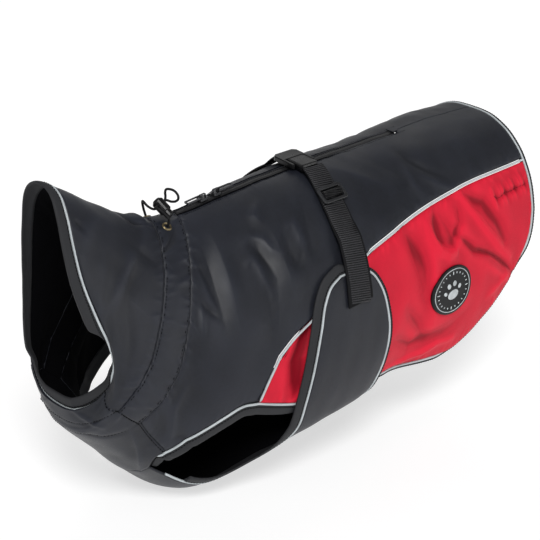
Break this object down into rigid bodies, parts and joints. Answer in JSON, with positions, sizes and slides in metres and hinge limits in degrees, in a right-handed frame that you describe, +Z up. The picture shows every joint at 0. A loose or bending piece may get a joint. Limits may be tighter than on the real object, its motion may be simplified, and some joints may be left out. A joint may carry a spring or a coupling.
{
  "type": "hollow dog coat shaped as worn, held at its back where a wearer would fill it",
  "caption": "Hollow winter coat for a dog with a stand collar, drawcord lock, back zip, belly flap and buckled girth strap.",
  "frame": {"origin": "on the spine under the girth strap, on the outer face of the back", "axes": "+X to the tail end, -X to the neck, +Z up from the belly to the back, -Y to the near side"},
  "size_m": [0.5775, 0.2348, 0.3479],
  "materials": {
    "nylon": "anthracite nylon shell with a soft sheen",
    "red_nylon": "red nylon shell with a soft sheen",
    "piping": "light grey reflective piping",
    "binding": "matte black edge binding",
    "webbing": "ribbed black webbing",
    "plastic": "black acetal with a low gloss",
    "zip": "black coated zip tape",
    "metal": "black metal, semi-gloss",
    "rubber": "matte black moulded rubber",
    "eyelet": "dull brass",
    "cord": "black elastic cord"
  },
  "bodies": {
    "coat": {"collar": "nylon", "drawstring_tunnel": "nylon", "chest_panel": "nylon", "back_panel_left": "nylon", "back_panel_right": "nylon", "side_panel_left": "red_nylon", "side_panel_right": "red_nylon", "belly_flap": "nylon", "neck_piping": "piping", "neck_binding": "binding", "hem_piping": "piping", "hem_binding": "binding", "flap_piping": "piping", "flap_binding": "binding", "seam_piping_left": "piping", "seam_piping_right": "piping", "zip_tape": "zip", "zip_end_patch": "nylon", "front_slider": "metal", "rear_slider": "metal", "strap_left": "webbing", "strap_right": "webbing", "strap_adjuster": "plastic", "buckle_housing": "plastic", "buckle_prong": "plastic", "round_patch": "rubber", "eyelet_left": "eyelet", "eyelet_right": "eyelet", "cord_lock": "plastic", "drawcord": "cord"},
    "front_pull": {"front_slider_pull": "metal"},
    "rear_pull": {"rear_slider_pull": "metal"},
    "plunger": {"lock_plunger": "plastic"}
  },
  "joints": [
    {"name": "front_pull_swing", "type": "hinge", "parent": "coat", "child": "front_pull", "pos_m": [-0.12971, 0, -0.00263], "axis": [0, 1, 0], "range_deg": [0, 115]},
    {"name": "rear_pull_swing", "type": "hinge", "parent": "coat", "child": "rear_pull", "pos_m": [-0.10816, 0, -0.00068], "axis": [0, -1, 0], "range_deg": [0, 115]},
    {"name": "plunger_press", "type": "slide", "parent": "coat", "child": "plunger", "axis": [-0.25, 0.742, 0.622], "range_m": [0, 0.0035], "stiffness_N_per_m": 300, "springref_m": -0.002}
  ]
}
